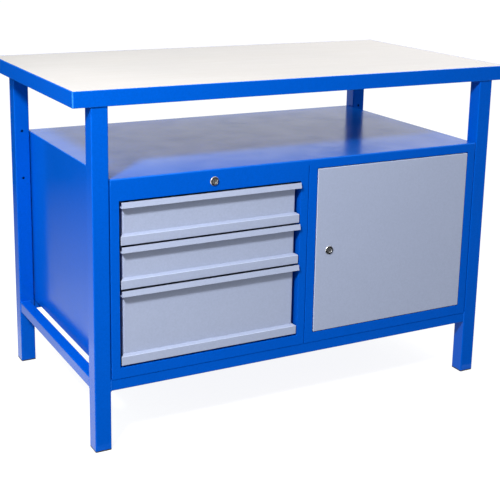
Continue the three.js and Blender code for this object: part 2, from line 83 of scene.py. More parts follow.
SHELF_BEND = 3 * MM
NOTCH_FROM_BACK = 24 * MM  # relief notch in the side panel
NOTCH_WIDTH = 7 * MM
NOTCH_DEPTH = 7 * MM

# ---- thin strips over the joints of the cabinets ----
STRIP_SHEET = 0.3 * MM
STRIP_CLEARANCE = 0.05 * MM
STRIP_SET_BACK = 6 * MM
STRIP_DEPTH = 12 * MM
STRIP_BEND = 0.4  # part of the strip's width
FLANGE_HEIGHT = 9 * MM
FLANGE_WIDTH = 9 * MM
FLANGE_BEND = 1.5 * MM

# ---- drawers ----
STILE = 21.5 * MM
GRIP_HEIGHT = 14 * MM
GRIP_SLANT = 3 * MM  # top edge of the grip behind its foot
LIP_BEND = 1.1 * MM
FACE_SET_BACK = 9 * MM
BAND_HEIGHT = 21.5 * MM
BAND_SLOPE = 4 * MM
BAND_BEND = 1.3 * MM
OPENING_BOTTOM = 200.5 * MM
DRAWER_OPENING_TOP = 601 * MM
DRAWER_RETURN = 30 * MM
END_BEND = 4 * MM  # the face turns back beside the drawer box
END_STEPS = 4
END_DEPTH = 13 * MM
END_CLEARANCE = 1.2 * MM

# ---- cupboard ----
CUPBOARD_STILE = 23 * MM
CUPBOARD_OPENING_TOP = 629 * MM
STOP_WIDTH = 6 * MM
STOP_BEND = 0.9 * MM
DOOR_BEND = 1.3 * MM

# ---- locks ----
LOCK_BORE = 6.3 * MM
LOCK_BODY = 9 * MM
RING_FUNNEL = (0.7 * MM, 0.9 * MM)  # width and depth of the slope into the bore
RING_CHAMFER = (1.3 * MM, 1.5 * MM)  # width and depth of the ring's outer slope
RING_BENDS = [0.3 * MM, 0.4 * MM, 0.8 * MM, 0.9 * MM] + [0.2 * MM] * 4  # from the bore outward
RING_STEPS = 3
LATHE_STEPS = 48
KEY_SLOT = (1.8 * MM, 8 * MM, 3 * MM)  # width, height and depth
KEYWAY_SET_BACK = 0.25 * MM
KEYWAY_SHORTER = 0.3 * MM
KEYWAY_CLEARANCE = 0.02 * MM
KEYWAY_LEVELS = (-1, -0.45, -0.3, 0.1, 0.25, 0.6, 0.75, 1)  # parts of half the slot's height
KEYWAY_WARD = 0.45  # part of half the slot's width
WARDS_RIGHT = (2, 3, 6)  # levels at which the keyway is narrower
WARDS_LEFT = (1, 2, 5)

# ---- welds ----
BEAD_RADIUS = 1.5 * MM
BEAD_STEP = 0.7 * MM
BEAD_PITCH = 4  # steps in one ripple
BEAD_RIPPLE = 0.25
BEAD_UNEVEN = 0.05
BEAD_SIDES = 8
BEAD_UPRIGHT = 0.9  # upward part of the direction of an upright run
BEAD_CUT = 1.2 * MM  # the bead runs round the tube's rounded corners
RANDOM = random.Random(11)

# ---- colours ----
PLY_PALE = (0.56, 0.54, 0.535)
PLY_WARM = (0.525, 0.502, 0.487)
PLY_GREY = (0.50, 0.487, 0.49)
PLY_FIBRE = (0.45, 0.415, 0.38)
MOTTLE = 0.93  # how much darker the thicker spots of the coat are
BLUE = (0.0, 0.088, 0.53)
BLUE_THIN = (0.0, 0.094, 0.57)
# paler blue on bends and sheet edges: a painted highlight along the arrises
BLUE_BENDS_HIGHLIGHT = (0.008, 0.14, 0.66)
# much paler blue on the worktop's rounded vertical corners: a painted highlight
BLUE_CORNER_HIGHLIGHT = (0.04, 0.24, 0.8)
# paler blue on the shelf's top: painted light
BLUE_SHELF_LIT = (0.0, 0.12, 0.57)
BLUE_TINT = (0.03, 0.25, 0.9)  # the gloss of the paint, seen head on
BLUE_PEEL = 0.045 * MM  # height of the orange peel
GREY = (0.35, 0.403, 0.558)
GREY_THIN = (0.365, 0.418, 0.573)
# paler grey on bends and sheet edges: a painted highlight along the arrises
GREY_BENDS_HIGHLIGHT = (0.52, 0.59, 0.78)
GREY_TINT = (0.9, 0.93, 1.0)
WIDE_PEEL = 2.5  # how much higher the wide waves of the coat are than the fine ones

# ---- studio ----
SKY_LIGHT = 0.72
GROUND_LIGHT = 0.3
KEY = ((-1.68, -1.58, 2.08), (-0.1, -0.3, 0.45), 0.28, 80)  # place, target, size, power
OVERHEAD = ((1.2, 0.35, 2.05), (0.4, 0.1, 0.85), 0.9, 13)
FILL = ((-3.2, 0.1, 1.9), (-0.5, 0, 0.6), 1.4, 26)
FILL_TINT = (0.8, 1.0, 0.86)
FLOOR_REACH = 30
FLOOR_SHADE = 0.2
FLOOR_GLOW = 0.9

# ---- dark cards that only show in the gloss of the paint ----
FLAG_SHADE = 0.002
FLAG_LIFT = 2 * MM  # height of the lying cards over the floor
FLAG_FOOT = 0.35  # the glow of the left card fades out up to this height
FLAG_LEFT = ((-3.4, 0.93), (-0.35, 0.93), 1.6)  # from, to, height
FLAG_FRONT = ((-0.7, -1.4), (2.6, -1.3), 1.5)
FLAG_FLOOR_FRONT = ((-0.55, -1.39), (2.6, -0.34))  # two opposite corners
FLAG_FLOOR_UNDER = ((-0.53, -0.33), (2.6, 1.6))
FLAG_FLOOR_LEFT = ((-3.4, 0.3), (-0.62, 0.94))
UNDER_GLOW = 0.7
NEAR_GLOW = 0.95  # how pale the cards on the left are by the bench and further back
FAR_GLOW = 0.46

ROOT = "bench"


# ---- nodes of materials ----
class Shader:
    """Builds one node material round a Principled shader."""

    def __init__(self, name):
        self.material = bpy.data.materials.new(name)
        self.material.use_nodes = True
        self.tree = self.material.node_tree
        self.principled = self.tree.nodes["Principled BSDF"]
        self.place = self.add("ShaderNodeTexCoord").outputs["Object"]

    def add(self, kind, **settings):
        node = self.tree.nodes.new(kind)
        for key, value in settings.items():
            setattr(node, key, value)
        return node

    def link(self, source, target):
        self.tree.links.new(source, target)

    def set(self, **values):
        for key, value in values.items():
            self.principled.inputs[key.replace("_", " ")].default_value = value

    def stretched(self, scale):
        node = self.add("ShaderNodeMapping")
        node.inputs["Scale"].default_value = scale
        self.link(self.place, node.inputs["Vector"])
        return node.outputs["Vector"]

    def noise(self, scale, detail=2.0, roughness=0.5, vector=None, distortion=0.0):
        node = self.add("ShaderNodeTexNoise")
        node.inputs["Scale"].default_value = scale
        node.inputs["Detail"].default_value = detail
        node.inputs["Roughness"].default_value = roughness
        node.inputs["Distortion"].default_value = distortion
        self.link(vector or self.place, node.inputs["Vector"])
        return node.outputs["Fac"]

    def between(self, value, low, high, start=0.3, end=0.7):
        """A number that goes from low to high as value goes from start to end."""
        node = self.add("ShaderNodeMapRange")
        node.inputs["From Min"].default_value = start
        node.inputs["From Max"].default_value = end
        node.inputs["To Min"].default_value = low
        node.inputs["To Max"].default_value = high
        self.link(value, node.inputs["Value"])
        return node.outputs["Result"]

    def mixed(self, factor, first, second):
        """A colour between first and second, each a colour or a socket."""
        node = self.add("ShaderNodeMix", data_type="RGBA")
        self.link(factor, node.inputs["Factor"])
        for socket, value in ((node.inputs["A"], first), (node.inputs["B"], second)):
            if isinstance(value, tuple):
                socket.default_value = (*value, 1)
            else:
                self.link(value, socket)
        return node.outputs["Result"]

    def colour(self, socket):
        self.link(socket, self.principled.inputs["Base Color"])

    def roughness(self, socket):
        self.link(socket, self.principled.inputs["Roughness"])

    def bump(self, height, distance, under=None):
        """Raises the surface by height; under is the normal of a coarser bump below this one."""
        node = self.add("ShaderNodeBump")
        node.inputs["Distance"].default_value = distance
        node.inputs["Strength"].default_value = 1.0
        self.link(height, node.inputs["Height"])
        if under is not None:
            self.link(under, node.inputs["Normal"])
        self.link(node.outputs["Normal"], self.principled.inputs["Normal"])
        return node.outputs["Normal"]


def powder_coat(name, colour, thin, gloss, peel, tint):
    """Baked powder coat: thinner in clouds, orange peel, gloss between two roughnesses."""
    shader = Shader(name)
    clouds = shader.noise(3.1, detail=3)
    specks = shader.noise(230, detail=3, roughness=0.6)
    base = shader.mixed(shader.between(clouds, 0.0, 1.0), colour, thin)
    darker = tuple(value * MOTTLE for value in colour)
    shader.colour(shader.mixed(shader.between(specks, 0.0, 1.0), base, darker))
    shader.roughness(shader.between(shader.noise(14, detail=3), *gloss))
    fine = shader.noise(210, detail=2, roughness=0.45)
    wide = shader.noise(60, detail=1)
    under = shader.bump(wide, peel * WIDE_PEEL)
    shader.bump(fine, peel, under=under)
    shader.set(Specular_Tint=(*tint, 1), IOR=1.5)
    return shader.material


def birch_plywood():
    """Pale oiled birch veneer, its grain along X."""
    shader = Shader("plywood")
    along = shader.stretched((1.1, 16, 16))
    figure = shader.noise(2.4, detail=4, roughness=0.6, vector=along, distortion=1.4)
    fibre = shader.noise(1, detail=3, roughness=0.7, vector=shader.stretched((14, 620, 620)))
    blotch = shader.noise(5, detail=2)
    pale = shader.mixed(shader.between(figure, 0.0, 1.0), PLY_PALE, PLY_WARM)
    cloudy = shader.mixed(shader.between(blotch, 0.0, 0.45), pale, PLY_GREY)
    shader.colour(shader.mixed(shader.between(fibre, 0.0, 0.25), cloudy, PLY_FIBRE))
    shader.roughness(shader.between(fibre, 0.5, 0.64))
    shader.bump(fibre, 0.05 * MM)
    shader.set(IOR=1.45)
    return shader.material


def zinc_plate():
    """Bright zinc plating with faint rolling marks and clouds."""
    shader = Shader("zinc")
    clouds = shader.noise(22, detail=3)
    rolled = shader.noise(1, detail=2, vector=shader.stretched((900, 25, 900)))
    spots = shader.between(clouds, 0.0, 1.0)
    shader.colour(shader.mixed(spots, (0.66, 0.67, 0.68), (0.50, 0.52, 0.55)))
    shader.roughness(shader.between(rolled, 0.28, 0.42))
    shader.bump(rolled, 0.02 * MM)
    shader.set(Metallic=1.0)
    return shader.material


def chrome_plate():
    """Polished nickel chrome with fine wipe marks."""
    shader = Shader("chrome")
    wiped = shader.noise(1, detail=3, vector=shader.stretched((1400, 300, 500)))
    clouds = shader.noise(160, detail=2)
    spots = shader.between(clouds, 0.0, 1.0)
    shader.colour(shader.mixed(spots, (0.80, 0.80, 0.82), (0.66, 0.67, 0.70)))
    shader.roughness(shader.between(wiped, 0.08, 0.2))
    shader.bump(wiped, 0.006 * MM)
    shader.set(Metallic=1.0)
    return shader.material


def satin_nickel():
    """Satin nickel of the lock plugs, scratched by keys."""
    shader = Shader("satin_nickel")
    scratched = shader.noise(1, detail=3, vector=shader.stretched((2600, 500, 700)))
    clouds = shader.noise(420, detail=2)
    spots = shader.between(clouds, 0.0, 1.0)
    shader.colour(shader.mixed(spots, (0.86, 0.86, 0.87), (0.45, 0.46, 0.48)))
    shader.roughness(shader.between(scratched, 0.36, 0.5))
    shader.bump(scratched, 0.01 * MM)
    shader.set(Metallic=1.0)
    return shader.material


def black_plastic():
    """Moulded plastic with a fine grained skin."""
    shader = Shader("black_plastic")
    grain = shader.noise(1500, detail=2)
    dust = shader.noise(40, detail=3)
    spots = shader.between(dust, 0.0, 1.0)
    shader.colour(shader.mixed(spots, (0.011, 0.011, 0.013), (0.022, 0.022, 0.024)))
    shader.roughness(shader.between(dust, 0.5, 0.66))
    shader.bump(grain, 0.05 * MM)
    return shader.material


def keyway_painted_shade():
    """Near-black inside the keyway: painted shade of the deep key slot."""
    shader = Shader("keyway")
    shade_mottle = shader.noise(800, detail=2)
    spots = shader.between(shade_mottle, 0.0, 1.0)
    shader.colour(shader.mixed(spots, (0.012, 0.012, 0.013), (0.03, 0.03, 0.032)))
    shader.roughness(shader.between(shade_mottle, 0.45, 0.7))
    return shader.material


# paler paint on bends and sheet edges: a painted highlight along the arrises
PAINTED_EDGE_HIGHLIGHTS = {"blue_paint": "blue_painted_highlight", "grey_paint": "grey_painted_highlight"}

PAINTS = {  # coat, where it is thin, lowest and highest roughness, orange peel, tint of the gloss
    "blue_paint": (BLUE, BLUE_THIN, (0.13, 0.2), BLUE_PEEL, BLUE_TINT),
    "blue_painted_highlight": (BLUE_BENDS_HIGHLIGHT, BLUE_THIN, (0.13, 0.2), BLUE_PEEL, BLUE_TINT),
    "blue_shelf_painted_light": (BLUE_SHELF_LIT, BLUE_THIN, (0.15, 0.24), BLUE_PEEL, BLUE_TINT),
    "blue_corner_highlight": (BLUE_CORNER_HIGHLIGHT, BLUE_BENDS_HIGHLIGHT, (0.2, 0.3), BLUE_PEEL, BLUE_TINT),
    "grey_paint": (GREY, GREY_THIN, (0.42, 0.52), 0.035 * MM, GREY_TINT),
    "grey_painted_highlight": (GREY_BENDS_HIGHLIGHT, GREY_THIN, (0.36, 0.44), 0.02 * MM, GREY_TINT),
}

# by slot or finish; Blender may number the names, since the CAD frame has materials of its own
MATERIALS = {name: powder_coat(name, *paint) for name, paint in PAINTS.items()}
MATERIALS.update(
    plywood=birch_plywood(),
    zinc=zinc_plate(),
    chrome=chrome_plate(),
    satin_nickel=satin_nickel(),
    black_plastic=black_plastic(),
    # near-black insert: painted shade inside the key slot
    keyway=keyway_painted_shade(),
)


# ---- shading and edges ----
def smooth_group():
    """Nodes of a modifier that shades smoothly, but not across sharp edges."""
    group = bpy.data.node_groups.new("smooth_by_angle", "GeometryNodeTree")
    group.interface.new_socket(name="Geometry", in_out="INPUT", socket_type="NodeSocketGeometry")
    group.interface.new_socket(name="Geometry", in_out="OUTPUT", socket_type="NodeSocketGeometry")
    start = group.nodes.new("NodeGroupInput")
    end = group.nodes.new("NodeGroupOutput")
    angle = group.nodes.new("GeometryNodeInputMeshEdgeAngle")
    sharp = group.nodes.new("FunctionNodeCompare")
    sharp.data_type = "FLOAT"
    sharp.operation = "GREATER_THAN"
    sharp.inputs[1].default_value = SHARP_ANGLE
    faces = group.nodes.new("GeometryNodeSetShadeSmooth")
    faces.domain = "FACE"
    edges = group.nodes.new("GeometryNodeSetShadeSmooth")
    edges.domain = "EDGE"
    edges.inputs["Shade Smooth"].default_value = False
    group.links.new(angle.outputs["Unsigned Angle"], sharp.inputs[0])
    group.links.new(start.outputs[0], faces.inputs["Geometry"])
    group.links.new(faces.outputs["Geometry"], edges.inputs["Geometry"])
    group.links.new(sharp.outputs["Result"], edges.inputs["Selection"])
    group.links.new(edges.outputs["Geometry"], end.inputs[0])
    return group


SMOOTH = smooth_group()


def smoothed(piece):
    """Smooth shading that keeps flat faces flat and sharp edges sharp."""
    modifier = piece.modifiers.new("smooth_by_angle", "NODES")
    modifier.node_group = SMOOTH
    weighted = piece.modifiers.new("flat_stays_flat", "WEIGHTED_NORMAL")
    weighted.keep_sharp = True
    weighted.weight = 100


def softened(piece):
    """Rounds the sharp edges of a CAD node without touching its mesh."""
    weld = piece.modifiers.new("weld", "WELD")
    weld.merge_threshold = NODE_MERGE
    flat = piece.modifiers.new("flat_faces", "DECIMATE")
    flat.decimate_type = "DISSOLVE"
    flat.angle_limit = NODE_FLAT_ANGLE
    bevel = piece.modifiers.new("edges", "BEVEL")
    bevel.width = NODE_ROUND
    bevel.segments = NODE_ROUND_STEPS
    bevel.limit_method = "ANGLE"
    bevel.angle_limit = NODE_ROUND_ANGLE
    bevel.use_clamp_overlap = True
    smoothed(piece)


# ---- places taken from the CAD frame ----
def box_of(node):
    """x0, y0, z0, x1, y1, z1 of a CAD node at rest."""
    low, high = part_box(node)
    return (*low, *high)


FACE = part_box("drawer_cabinet_face_frame")[0].y  # plane of the cabinet faces


# ---- surfaces ----
def bent(points, radius, steps=BEND_STEPS):
    """A flat polyline with its inner corners rounded: one radius for all of them, or a list."""
    radii = radius if isinstance(radius, list) else [radius] * (len(points) - 2)
    path = [tuple(points[0])]
    for before, corner, after, bend in zip(points, points[1:], points[2:], radii):
        corner = Vector(corner)
        back = (Vector(before) - corner).normalized()
        ahead = (Vector(after) - corner).normalized()
        half = back.angle(ahead) / 2
        centre = corner + (back + ahead).normalized() * (bend / math.sin(half))
        reach = bend / math.tan(half)
        first = corner + back * reach - centre
        last = corner + ahead * reach - centre
        sweep = first.angle(last)
        for i in range(steps + 1):
            t = i / steps
            turned = first * math.sin((1 - t) * sweep) + last * math.sin(t * sweep)
            path.append(tuple(centre + turned / math.sin(sweep)))
    path.append(tuple(points[-1]))
    return path


class Surface:
    """Collects faces for one mesh. Corners that coincide share one vertex."""

    def __init__(self):
        self.found = {}
        self.points = []
        self.faces = []

    def vertex(self, point):
        """Number of the vertex at a point, to the nearest micrometre."""
        key = tuple(round(value * 1e6) for value in point)
        if key not in self.found:
            self.found[key] = len(self.points)
            self.points.append(tuple(point))
        return self.found[key]

    def add_faces(self, faces, facing=None):
        """facing is the way the largest face looks; without it all are turned as they come."""
        new = []
        for corners in faces:
            ids = list(dict.fromkeys(self.vertex(corner) for corner in corners))
            if len(ids) > 2:
                new.append(ids)
        if facing is not None:
            normals = [normal_of([self.points[i] for i in ids]) for ids in new]
            if max(normals, key=lambda normal: normal.length).dot(Vector(facing)) < 0:
                new = [ids[::-1] for ids in new]
        self.faces.extend(new)

    def add_rows(self, rows, facing=None, closed=False):
        """Quads between one row of points and the next. Those with a point of None are left out."""
        faces = []
        for first, second in zip(rows, rows[1:]):
            count = len(first)
            for j in range(count if closed else count - 1):
                k = (j + 1) % count
                corners = (first[j], first[k], second[k], second[j])
                if all(corner is not None for corner in corners):
                    faces.append(corners)
        self.add_faces(faces, facing)

    def piece(self, name, slot, body=ROOT, replaces=(), material=None, painted_highlights=True):
        """One object from the faces. Narrow faces, which are bends, may get a paler paint: a
        painted highlight.
        """
        mesh = bpy.data.meshes.new(name)
        mesh.from_pydata(self.points, [], self.faces)
        paint = material or slot
        mesh.materials.append(MATERIALS[paint])
        if painted_highlights and paint in PAINTED_EDGE_HIGHLIGHTS:
            mesh.materials.append(MATERIALS[PAINTED_EDGE_HIGHLIGHTS[paint]])
            for face in mesh.polygons:
                corners = [mesh.vertices[i].co for i in face.vertices]
                sides = zip(corners, [*corners[1:], corners[0]])
                narrow = min((first - second).length for first, second in sides)
                face.material_index = int(narrow < BEND_FACE)
        piece = bpy.data.objects.new(name, mesh)
        bpy.context.scene.collection.objects.link(piece)
        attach(piece, body)
        if replaces:
            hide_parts(*replaces)
        return piece


def normal_of(corners):
    """Normal of a polygon, as long as twice its area."""
    total = Vector((0, 0, 0))
    for first, second in zip(corners, [*corners[1:], corners[0]]):
        total += Vector(first).cross(Vector(second))
    return total


def turned_outward(piece):
    """Makes the faces of a closed mesh look outward."""
    mesh = bmesh.new()
    mesh.from_mesh(piece.data)
    bmesh.ops.recalc_face_normals(mesh, faces=mesh.faces)
    mesh.to_mesh(piece.data)
    mesh.free()


def folded(piece, thickness=SHEET):
    """Gives an outer skin the thickness of its sheet."""
    shell = piece.modifiers.new("sheet", "SOLIDIFY")
    shell.thickness = thickness
    shell.offset = -1
    shell.use_even_offset = True
    # the sheet's cut edges take the second slot: the painted highlight, where the piece has one
    shell.material_offset_rim = 1
    smoothed(piece)


# ---- drawer fronts ----
def add_drawer_front(name):
    """One folded sheet: grip lip before a trough, recessed face, sloping fold, flush band."""
    x0, y0, z0, x1, back, z1 = box_of(f"drawer_front_{name}")
    inner0, inner1 = (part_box(f"drawer_box_{name}")[i].x for i in (0, 1))
    face = FACE + FACE_SET_BACK
    lip_foot = z1 - GRIP_HEIGHT
    slope_top = z0 + BAND_HEIGHT + BAND_SLOPE
    front = Surface()
    lip = bent([(y0 + GRIP_SLANT, z1), (y0, lip_foot), (back, lip_foot)], LIP_BEND)
    front.add_rows([[(x, y, z) for y, z in lip] for x in (x0, x1)], facing=(0, -1, 0))
    left, right = inner0 - END_CLEARANCE, inner1 + END_CLEARANCE
    deep = face + END_DEPTH
    ends = bent([(left, deep), (left, face), (right, face), (right, deep)], END_BEND, END_STEPS)
    levels = (slope_top - SHEET, lip_foot + SHEET / 2)
    front.add_rows([[(x, y, z) for x, y in ends] for z in levels], facing=(0, -1, 0))
    band = bent([(face, slope_top), (FACE, z0 + BAND_HEIGHT), (FACE, z0), (back, z0)], BAND_BEND)
    cut = (inner0 - x0) / (back - FACE)  # the ends of the band are cut back at a slant
    left_end = [(x0 + cut * (y - FACE), y, z) for y, z in band]
    right_end = [(x1 - cut * (y - FACE), y, z) for y, z in band]
    front.add_rows([left_end, right_end], facing=(0, -1, 0))
    body, nodes = f"drawer_{name}", [f"drawer_front_{name}"]
    folded(front.piece(f"drawer_{name}_folded_front", "grey_paint", body, nodes))


# ---- door ----
def add_door():
    """A folded tray: its four flanges are bent back and stop short of each other at the corners."""
    x0, y0, z0, x1, y1, z1 = box_of("door_panel")
    across = bent([(x0, y1), (x0, y0), (x1, y0), (x1, y1)], DOOR_BEND)
    upward = bent([(z0, y1), (z0, y0), (z1, y0), (z1, y1)], DOOR_BEND)
    rows = []
    for z, depth_z in upward:
        row = []
        for x, depth_x in across:
            flat = min(depth_x, depth_z) - y0 < SAME_DEPTH
            row.append((x, max(depth_x, depth_z), z) if flat else None)
        rows.append(row)
    door = Surface()
    door.add_rows(rows, facing=(0, -1, 0))
    folded(door.piece("door_folded_tray", "grey_paint", "door", ["door_panel"]))


# ---- cabinets ----
def add_face_frame(name, opening, return_depth):
    """Cabinet face whose edges turn back to the side panels and whose opening folds inward."""
    x0, y0, z0, x1, _, _ = box_of(f"{name}_face_frame")
    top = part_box("shelf_plate")[0].z
    left, right, low, high = opening
    frame_sheet = Surface()
    edge0, edge1 = x0 + ARRIS, x1 - ARRIS
    rings = [[(edge0, y0, z0), (edge1, y0, z0), (edge1, y0, top), (edge0, y0, top)]]
    fold = bent([(2 * OPENING_BEND, y0), (0, y0), (0, y0 + return_depth)], OPENING_BEND)
    for out, y in fold[1:]:
        rings.append([
            (left - out, y, low - out),
            (right + out, y, low - out),
            (right + out, y, high + out),
            (left - out, y, high + out),
        ])
    frame_sheet.add_rows(rings, facing=(0, -1, 0), closed=True)
    for edge, inward in ((x0, 1), (x1, -1)):
        corner = [(edge + 2 * ARRIS * inward, y0), (edge, y0), (edge, y0 + 2 * ARRIS)]
        rows = [[(x, y, z) for x, y in bent(corner, ARRIS)[1:-1]] for z in (z0, top)]
        frame_sheet.add_rows(rows, facing=(-inward, 0, 0))
    nodes = [f"{name}_face_frame"]
    folded(frame_sheet.piece(f"{name}_folded_face", "blue_paint", ROOT, nodes, painted_highlights=False))


def add_faces():
    """Both cabinet faces, and the stop that the door's left edge closes on."""
    x0, _, _, x1, _, _ = box_of("drawer_cabinet_face_frame")
    opening = (x0 + STILE, x1 - STILE, OPENING_BOTTOM, DRAWER_OPENING_TOP)
    add_face_frame("drawer_cabinet", opening, DRAWER_RETURN)
    x0, _, _, x1, y1, _ = box_of("cupboard_face_frame")
    left, right = x0 + CUPBOARD_STILE, x1 - CUPBOARD_STILE
    depth = y1 - FACE
    add_face_frame("cupboard", (left, right, OPENING_BOTTOM, CUPBOARD_OPENING_TOP), depth)
    stop = Surface()
    end, near = left + STOP_WIDTH, y1 - SHEET
    fold = bent([(left - SHEET / 2, near), (end, near), (end, y1)], STOP_BEND)
    levels = (OPENING_BOTTOM, CUPBOARD_OPENING_TOP)
    stop.add_rows([[(x, y, z) for x, y in fold] for z in levels], facing=(0, -1, 0))
    folded(stop.piece("cupboard_door_stop", "blue_paint"), SHEET / 2)


def add_shelf():
    """Shelf plate with a lip folded down at the front and a rounded arris over each side panel."""
    x0, y0, z0, x1, y1, z1 = box_of("shelf_plate")
    columns = []
    for i in range(BEND_STEPS + 1):
        angle = math.pi / 2 * i / BEND_STEPS
        columns.append((ARRIS * (1 - math.sin(angle)), ARRIS * (1 - math.cos(angle))))
    columns.reverse()
    sides = [(x0 + reach, inset) for reach, inset in columns]
    sides += [(x1 - reach, inset) for reach, inset in reversed(columns)]
    rows = []
    for x, inset in sides:
        profile = [(y1, z1 - inset), (y0 + inset, z1 - inset), (y0 + inset, z0)]
        rows.append([(x, y, z) for y, z in bent(profile, SHELF_BEND - inset)])
    shelf = Surface()
    shelf.add_rows(rows, facing=(0, 0, 1))
    piece = shelf.piece("open_shelf_plate", "blue_paint", ROOT, ["shelf_plate"])
    # the shelf's top takes the paler blue: painted light
    piece.data.materials.append(MATERIALS["blue_shelf_painted_light"])
    for plate in piece.data.polygons:
        if plate.normal.z > LEVEL:
            plate.material_index = 2
    folded(piece)


def add_joint_strip():
    """Thin folded strip that closes the slit between the two cabinets."""
    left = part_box("drawer_cabinet_face_frame")[1].x + STRIP_CLEARANCE
    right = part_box("cupboard_face_frame")[0].x - STRIP_CLEARANCE
    front = FACE + STRIP_SET_BACK
    back = front + STRIP_DEPTH
    _, _, z0, _, _, z1 = box_of("cupboard_face_frame")
    strip = Surface()
    radius = (right - left) * STRIP_BEND
    fold = bent([(left, back), (left, front), (right, front), (right, back)], radius)
    strip.add_rows([[(x, y, z) for x, y in fold] for z in (z0, z1)], facing=(0, -1, 0))
    folded(strip.piece("cabinet_joint_strip", "blue_paint", painted_highlights=False), STRIP_SHEET)


def add_floor_flange():
    """Sheet turned up against the cupboard's sides and back, over the joints of its floor."""
    inset = STRIP_CLEARANCE + STRIP_SHEET
    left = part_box("cupboard_side_left")[1].x
    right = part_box("cupboard_side_right")[0].x
    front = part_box("cupboard_face_frame")[1].y
    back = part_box("cupboard_back")[0].y
    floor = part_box("cupboard_floor")[1].z
    rings = []
    profile = [(inset, FLANGE_HEIGHT), (inset, inset), (FLANGE_WIDTH, inset)]
    for reach, rise in bent(profile, FLANGE_BEND):
        x0, x1, y, z = left + reach, right - reach, back - reach, floor + rise
        rings.append([(x0, front, z), (x0, y, z), (x1, y, z), (x1, front, z)])
    flange = Surface()
    flange.add_rows(rings, facing=(0, -1, 0))
    folded(flange.piece("cupboard_floor_flange", "blue_paint", painted_highlights=False), STRIP_SHEET)


def add_side_panel():
    """Left side panel, with the relief notch near its rear upper corner."""
    x0, y0, z0, _, y1, z1 = box_of("drawer_cabinet_side_left")
    notch_back = y1 - NOTCH_FROM_BACK
    notch_front = notch_back - NOTCH_WIDTH
    notch_foot = z1 - NOTCH_DEPTH
    outline = [(y0, z0), (y1, z0), (y1, z1), (notch_back, z1), (notch_back, notch_foot)]
    outline += [(notch_front, notch_foot), (notch_front, z1), (y0, z1)]
    panel = Surface()
    panel.add_faces([[(x0, y, z) for y, z in outline]], facing=(-1, 0, 0))
    nodes = ["drawer_cabinet_side_left"]
    folded(panel.piece("drawer_cabinet_notched_side", "blue_paint", ROOT, nodes))


# ---- worktop ----
def tall(mesh, face):
    """Whether a face runs up most of the edge."""
    heights = [mesh.vertices[i].co.z for i in face.vertices]
    return max(heights) - min(heights) > TALL_FACE


def add_worktop_edge():
    """One welded ring of angle steel with rounded arrises and rounded vertical corners."""
    x0, y0, z0, x1, _, z1 = box_of("top_angle_front")
    y1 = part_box("top_angle_rear")[1].y
    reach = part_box("top_angle_front")[1].y - y0
    wall = EDGE_WALL
    section = [(wall, z0), (0, z0), (0, z1), (wall, z1)]
    section += [(wall, z0 + wall), (reach, z0 + wall), (reach, z0), (wall, z0)]
    radii = [EDGE_ROUND, EDGE_ROUND, EDGE_ROUND / 3, EDGE_ROUND, EDGE_ROUND / 2, EDGE_ROUND / 2]
    rings = []
    for inset, z in bent(section, radii, EDGE_STEPS):
        radius = max(EDGE_CORNER - inset, EDGE_CORNER_LEAST)
        ring = []
        for cx, cy, quarter in ((x1, y1, 0), (x0, y1, 1), (x0, y0, 2), (x1, y0, 3)):
            side_x, side_y = (1, -1)[cx == x0], (1, -1)[cy == y0]
            middle_x = cx - side_x * (inset + radius)
            middle_y = cy - side_y * (inset + radius)
            for step in range(BEND_STEPS + 1):
                angle = math.pi / 2 * (quarter + step / BEND_STEPS)
                x = middle_x + radius * math.cos(angle)
                y = middle_y + radius * math.sin(angle)
                ring.append((x, y, z))
        rings.append(ring)
    edge = Surface()
    edge.add_rows(rings, closed=True)
    nodes = [f"top_angle_{side}" for side in ("front", "rear", "left", "right")]
    piece = edge.piece("worktop_steel_edge", "blue_paint", ROOT, nodes)
    # bend faces that run up the vertical corners take the painted corner highlight
    piece.data.materials.append(MATERIALS["blue_corner_highlight"])
    for face in piece.data.polygons:
        if face.material_index == 1 and tall(piece.data, face):
            face.material_index = 2
    turned_outward(piece)
    smoothed(piece)


# ---- welds ----
def add_bead(name, path):
    """A rippled weld bead along a closed path of points."""
    rows = []
    count = len(path)
    for i, point in enumerate(path):
        ahead = (path[(i + 1) % count] - path[i - 1]).normalized()
        upright = abs(ahead.z) > BEAD_UPRIGHT
        side = ahead.orthogonal() if upright else ahead.cross(Vector((0, 0, 1)))
        side.normalize()
        up = ahead.cross(side)
        ripple = 1 - BEAD_RIPPLE * (i % BEAD_PITCH) / BEAD_PITCH + RANDOM.uniform(-BEAD_UNEVEN, 0)
        row = []
        for step in range(BEAD_SIDES):
            angle = 2 * math.pi * step / BEAD_SIDES
            out = side * math.cos(angle) + up * math.sin(angle)
            row.append(point + out * BEAD_RADIUS * ripple)
        rows.append(row)
    rows.append(rows[0])
    bead = Surface()
    bead.add_rows(rows, closed=True)
    piece = bead.piece(name, "blue_paint")
    turned_outward(piece)
    smoothed(piece)


def along(corners):
    """Evenly spaced points along the straight runs of a closed outline."""
    corners = [Vector(corner) for corner in corners]
    path = []
    for first, second in zip(corners, [*corners[1:], corners[0]]):
        count = max(1, round((second - first).length / BEAD_STEP))
        path.extend(first.lerp(second, i / count) for i in range(count))
    return path


def add_rail_welds():
    """A bead round both ends of every rail, where it meets a leg."""
    for rail in ("rail_front", "rail_rear", "stretcher_left", "stretcher_right"):
        along_x = rail.startswith("rail")
        x0, y0, z0, x1, y1, z1 = box_of(rail)
        ends = (x0, x1) if along_x else (y0, y1)
        across0, across1 = (y0, y1) if along_x else (x0, x1)
        cut = BEAD_CUT
        outline = [(across0 + cut, z0), (across1 - cut, z0), (across1, z0 + cut)]
        outline += [(across1, z1 - cut), (across1 - cut, z1), (across0 + cut, z1)]
        outline += [(across0, z1 - cut), (across0, z0 + cut)]
        for number, end in enumerate(ends):
            corners = [(end, c, z) if along_x else (c, end, z) for c, z in outline]
            add_bead(f"{rail}_weld_{number}", along(corners))


